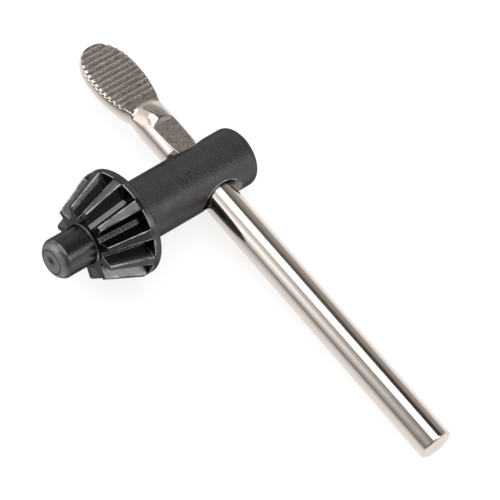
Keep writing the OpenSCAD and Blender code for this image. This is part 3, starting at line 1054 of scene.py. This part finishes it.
RAGGED = 1.6
wear, given, result = new_group("edge_wear", {"Edge": 0.0, "Noise": 0.5, "Reach": 0.5}, ("Worn",))
off_mean = math_node(wear, "SUBTRACT", given["Noise"], 0.5)
ragged = math_node(wear, "ADD", given["Edge"], times(wear, off_mean, RAGGED))
wear.links.new(ramped(wear, ragged, given["Reach"], 1.0), result["Worn"])
print("groups:", [group.name for group in (grain, wear)])

# %% [markdown]
# The body is hardened steel with a chemical black finish. The finish is a thin dark oxide
# with a satin gloss, and it rubs off first where the teeth are cut sharpest. The oxide is
# mixed from two tones by the coarse noise, and bare steel shows through by the wear group.
# The pilot's end touches the chuck, so it is rubbed bright apart from a turned ring and a
# blot round its centre.

# %% Black oxide
OXIDE = (0.094, 0.094, 0.095, 1)
OXIDE_LIGHT = (0.116, 0.114, 0.115, 1)
BARE_STEEL = (0.56, 0.54, 0.54, 1)
RUBBED_FACE = (0.36, 0.36, 0.36, 1)
MOUTH_SHADE_COLOUR = (0.02, 0.018, 0.017, 1)
OXIDE_TINT = (0.32, 0.32, 0.32, 1)
FACE_RING_R = 2.43
MOST_WORN = 0.85


def rubbed_end(tree, noise):
    """How bright the pilot's end is rubbed: 1 within its edge, and 0 on a ring and on a blot
    at the centre whose outline is the radius plus coarse noise."""
    face_r = mark_of(tree, "face_radius")
    off_ring = math_node(tree, "ABSOLUTE", math_node(tree, "SUBTRACT", face_r, FACE_RING_R))
    ring_line = ramped(tree, off_ring, 0.05, 0.22, 1.0, 0.0)
    blot = math_node(tree, "ADD", face_r, times(tree, noise["Coarse"], 2.4))
    dark = math_node(tree, "MAXIMUM", ring_line, ramped(tree, blot, 2.0, 2.6, 1.0, 0.0))
    bright = math_node(tree, "SUBTRACT", 1.0, dark, clamp=True)
    return times(tree, ramped(tree, face_r, 3.2, 3.95, 1.0, 0.0), bright)


def black_oxide():
    """Two tones of oxide, then the rubbed end, painted shade in the mouths and bare steel over them.
    The grain is deepest on the satin shank and shallow on the pilot."""
    material, tree, shader = new_material("black_oxide_steel")
    noise = use_group(tree, grain, {"Scale": 2600.0})
    worn = use_group(tree, wear, {
        "Edge": mark_of(tree, "edge"), "Noise": noise["Coarse"], "Reach": 0.55})["Worn"]
    satin = mark_of(tree, "satin")
    rubbed = rubbed_end(tree, noise)
    tone = mixed(tree, ramped(tree, noise["Coarse"], 0.3, 0.7), OXIDE, OXIDE_LIGHT)
    tone = mixed(tree, rubbed, tone, RUBBED_FACE)
    # Painted shade: where the satin mark is above 1.4, inside the mouths, the colour goes near
    # black.
    tone = mixed(tree, ramped(tree, satin, 1.4, 1.9), tone, MOUTH_SHADE_COLOUR)
    tone = mixed(tree, times(tree, worn, MOST_WORN), tone, BARE_STEEL)
    uneven = ramped(tree, noise["Fine"], 0.2, 0.8, 0.0, 0.08)
    dull = math_node(tree, "MAXIMUM", times(tree, rubbed, 0.22), times(tree, worn, 0.25))
    rough = math_node(tree, "ADD", ramped(tree, satin, 0.0, 1.0, 0.18, 0.34), uneven)
    off_pilot = ramped(tree, mark_of(tree, "face_radius"), 4.0, 4.5, 0.5, 1.0)
    depth = times(tree, off_pilot, ramped(tree, satin, 0.5, 1.0, 1.0, 2.0))
    fill(tree, shader, {
        "Base Color": tone, "Roughness": math_node(tree, "ADD", rough, dull),
        "Metallic": 1.0, "Specular Tint": OXIDE_TINT,
        "Normal": bumped(tree, times(tree, noise["Fine"], depth), 0.75, 0.05 * MM)})
    return material


steel = black_oxide()
key_body.data.materials.clear()
key_body.data.materials.append(steel)
print("black oxide has", len(steel.node_tree.nodes), "nodes")

# %% [markdown]
# The bar is nickel plated after pressing. The drawn round is smooth and takes the plating
# bright. The pressed faces keep the rough skin of the press tool, so they look dark and
# speckled. The specks are a mix of fine grain and of grain that is drawn out along the ribs.

# %% Nickel
NICKEL = (0.67, 0.605, 0.555, 1)
PRESSED = (0.24, 0.213, 0.19, 1)
PRESSED_LIGHT = (0.65, 0.595, 0.55, 1)
PAINTED_SHADE_COLOUR = (0.05, 0.045, 0.04, 1)
PRESSED_ROUGH = 0.34


def nickel_plate():
    """Plain plate on the round, two tones of speckle where the press has been, and painted
    shade of the folds and the hole over both."""
    material, tree, shader = new_material("nickel_plate")
    noise = use_group(tree, grain, {"Scale": 3800.0})
    drawn_out = use_group(tree, grain, {"Scale": 1100.0, "Stretch": 5.0})
    pressed = mark_of(tree, "pressed")
    speck = math_node(tree, "ADD", times(tree, noise["Fine"], 0.55),
                      times(tree, drawn_out["Fine"], 0.45))
    speckle = mixed(tree, ramped(tree, speck, 0.42, 0.62), PRESSED, PRESSED_LIGHT)
    plate = mixed(tree, pressed, NICKEL, speckle)
    # Painted shade: the folds of the neck and the bar just inside the hole go dark here.
    plate = mixed(tree, mark_of(tree, "painted_shade"), plate, PAINTED_SHADE_COLOUR)
    smooth = ramped(tree, noise["Coarse"], 0.3, 0.7, 0.10, 0.14)
    rough = add(tree, "ShaderNodeMix", {0: pressed, 2: smooth, 3: PRESSED_ROUGH}).outputs[0]
    fill(tree, shader, {
        "Base Color": plate, "Roughness": rough, "Metallic": 1.0,
        "Normal": bumped(tree, times(tree, noise["Fine"], pressed), 0.5, 0.08 * MM)})
    return material


nickel = nickel_plate()
handle.data.materials.append(nickel)
print("nickel plate has", len(nickel.node_tree.nodes), "nodes")

# %% [markdown]
# The photograph was taken on white. The floor is pale paper that glows for rays from the
# camera, so it shows near white and keeps a faint shadow of the key. Rays from the metal see
# a glow too, which is bright behind the key and dark in front of it, as the underside of the
# real bar shows.

# %% The floor
FLOOR_HALF = 3.0
LIT_PAPER = (0.75, 0.75, 0.75, 1)
SEEN_PAPER = (0.36, 0.36, 0.36, 1)
GLOW_TO_CAMERA = 0.80
GLOW_TO_METAL = ((0.0, 0.05), (0.67, 0.21), (0.82, 0.41), (0.91, 0.54), (0.98, 0.74), (1.0, 0.78))
FADE_FROM, FADE_TO = -0.13, 0.02


def pale_paper():
    """Matt paper whose glow is only for the rays that see it."""
    material, tree, shader = new_material("paper")
    rays = add(tree, "ShaderNodeLightPath").outputs
    mirrored = math_node(tree, "ADD", rays["Is Glossy Ray"], rays["Is Transmission Ray"], clamp=True)
    seen = math_node(tree, "ADD", rays["Is Camera Ray"], mirrored, clamp=True)
    spot = add(tree, "ShaderNodeTexCoord").outputs["Object"]
    behind_key = add(tree, "ShaderNodeSeparateXYZ", {0: spot}).outputs[1]
    fade = graded(tree, ramped(tree, behind_key, FADE_FROM, FADE_TO), GLOW_TO_METAL)
    glow = add(tree, "ShaderNodeMix", {0: mirrored, 2: GLOW_TO_CAMERA, 3: fade}).outputs[0]
    fill(tree, shader, {
        "Base Color": mixed(tree, seen, LIT_PAPER, SEEN_PAPER), "Roughness": 1.0,
        "Specular IOR Level": 0.0, "Emission Color": (1, 1, 1, 1),
        "Emission Strength": times(tree, seen, glow)})
    return material


floor_z = cad_box[0][2]
floor_mesh = bpy.data.meshes.new("floor")
corners = np.array([(-1, -1), (1, -1), (1, 1), (-1, 1)]) * FLOOR_HALF
floor_mesh.from_pydata(np.c_[corners, np.full(4, floor_z)], [], [(0, 1, 2, 3)])
floor = bpy.data.objects.new("floor", floor_mesh)
bpy.context.scene.collection.objects.link(floor)
floor_mesh.materials.append(pale_paper())
print("the floor lies %.1f mm below the row's origin" % (-floor_z / MM))

# %% [markdown]
# The camera stands where the photograph's camera stood. Its place, turn and focal length
# were worked out from where known points of the key lie in the picture: a pinhole camera
# was fitted to them. The long lens is why the far end of the bar looks hardly thinner.

# %% The camera
LENS_PX = 4095.4
PICTURE_PX = 500
SENSOR_MM = 36
CAMERA_AT = np.array([239.51, -365.46, 618.53])
VIEW_RIGHT = np.array([0.62943, 0.73829, 0.242])
VIEW_DOWN = np.array([0.72105, -0.43866, -0.536])
VIEW_AHEAD = np.array([-0.28966, 0.51236, -0.808])
camera_data = bpy.data.cameras.new("camera")
camera_data.lens = LENS_PX / PICTURE_PX * SENSOR_MM
camera_data.sensor_width = SENSOR_MM
camera_data.clip_start, camera_data.clip_end = 0.05, 20
camera = bpy.data.objects.new("camera", camera_data)
camera_axes = np.stack([VIEW_RIGHT, -VIEW_DOWN, -VIEW_AHEAD]) @ KEY_AXES
placed = Matrix(camera_axes.T.tolist()).to_4x4()
placed.translation = in_row(CAMERA_AT)
camera.matrix_world = placed
bpy.context.scene.collection.objects.link(camera)
bpy.context.scene.camera = camera
print("camera %.2f m away, lens %.0f mm" % (placed.translation.length, camera_data.lens))

# %% [markdown]
# The bar is a mirror, so it shows the studio that it was photographed in: a large softbox
# overhead with sharp edges and a card on either side. They also light the rest of the key.

# %% The lamps
SOFTBOX_AT = (-0.145, 0.125, 1.0)


def card(name, toward, size, radiance):
    """A rectangular lamp 1 m away in a direction, which faces the key. Its power is
    radiance * pi * area."""
    lamp = bpy.data.lights.new(name, "AREA")
    lamp.shape = "RECTANGLE"
    lamp.size, lamp.size_y = size
    lamp.energy = radiance * math.pi * size[0] * size[1]
    piece = bpy.data.objects.new(name, lamp)
    away = Vector(toward).normalized()
    piece.location = away
    piece.rotation_euler = away.to_track_quat("Z", "Y").to_euler()
    bpy.context.scene.collection.objects.link(piece)
    print("%s: %.1f W" % (name, lamp.energy))
    return piece


softbox = card("softbox", (0, 0, 1), (1.31, 0.73), 2.0)
softbox.location = SOFTBOX_AT
card("right_card", (0.74, 0.34, 0.58), (0.42, 0.46), 2.8)
card("left_card", (-0.96, 0.10, 0.20), (0.45, 0.22), 1.9)

# %% [markdown]
# Between the lamps the bar mirrors the room. It is drawn in the world by direction alone:
# each wall is a grade of brightness from the horizon up, and the left one from the front to
# the back. There is a dim wall in front of the key, one behind it that is darker towards the
# bar's plain end, a white card in front of the grip, and the wall to the left.

# %% The room
BEHIND = ((0.0, 0.56), (0.17, 0.52), (0.44, 0.38), (0.62, 0.34), (0.74, 0.24), (0.85, 0.15),
          (1.0, 0.15))
BEHIND_END = ((0.0, 0.56), (0.17, 0.52), (0.44, 0.38), (0.57, 0.34), (0.65, 0.09), (0.72, 0.03),
              (1.0, 0.03))
IN_FRONT = ((0.0, 0.24), (0.20, 0.25), (0.40, 0.27), (0.50, 0.30), (0.59, 0.33), (0.74, 0.31),
            (0.80, 0.32), (0.85, 0.20), (0.90, 0.22), (1.0, 0.40))
WHITE_CARD = ((0.0, 0.14), (0.10, 0.24), (0.20, 0.36), (0.325, 0.55), (0.48, 0.78), (0.615, 1.0),
              (0.73, 0.66), (0.83, 0.46), (0.91, 0.40), (0.97, 0.60))
LEFT_WALL = ((0.275, 0.75), (0.40, 0.48), (0.50, 0.57), (0.60, 0.58), (0.64, 0.34), (0.74, 0.19),
             (0.80, 0.17))
WARM = (1, 0.95, 0.91)
CARD_GAIN = 2.1
LEFT_GAIN = 2.0

studio = bpy.data.worlds.new("studio")
bpy.context.scene.world = studio
studio.use_nodes = True
sky = studio.node_tree
direction = add(sky, "ShaderNodeTexCoord").outputs["Generated"]
toward_x, toward_y, toward_z = add(sky, "ShaderNodeSeparateXYZ", {0: direction}).outputs


def wall(stops, value=toward_z, gain=1.0, tint=WARM):
    """Brightness by the height of the direction, from the horizon to the zenith, or by
    another value from 0 to 1, times gain."""
    grade = graded(sky, value, stops, tint)
    return add(sky, "ShaderNodeVectorMath", {0: grade, 3: gain}, operation="SCALE").outputs[0]


along_bar = math_node(sky, "SUBTRACT", toward_x, times(sky, toward_z, math.tan(ROLL)))
grip_side = ramped(sky, along_bar, -0.233, -0.304)
front_walls = mixed(sky, grip_side, wall(IN_FRONT), wall(WHITE_CARD, gain=CARD_GAIN, tint=(1, 1, 1)))
back_walls = mixed(sky, grip_side, wall(BEHIND_END), wall(BEHIND))
walls = mixed(sky, ramped(sky, toward_y, -0.35, 0.0), front_walls, back_walls)
left_wall = wall(LEFT_WALL, ramped(sky, toward_y, -1.0, 1.0), gain=LEFT_GAIN)
leftward = times(sky, ramped(sky, toward_x, -0.40, -0.58), ramped(sky, toward_z, 0.25, 0.45))
sky.links.new(mixed(sky, leftward, walls, left_wall), sky.nodes["Background"].inputs["Color"])
bpy.context.scene.view_settings.view_transform = "Standard"
print("the room has", len(sky.nodes), "nodes")
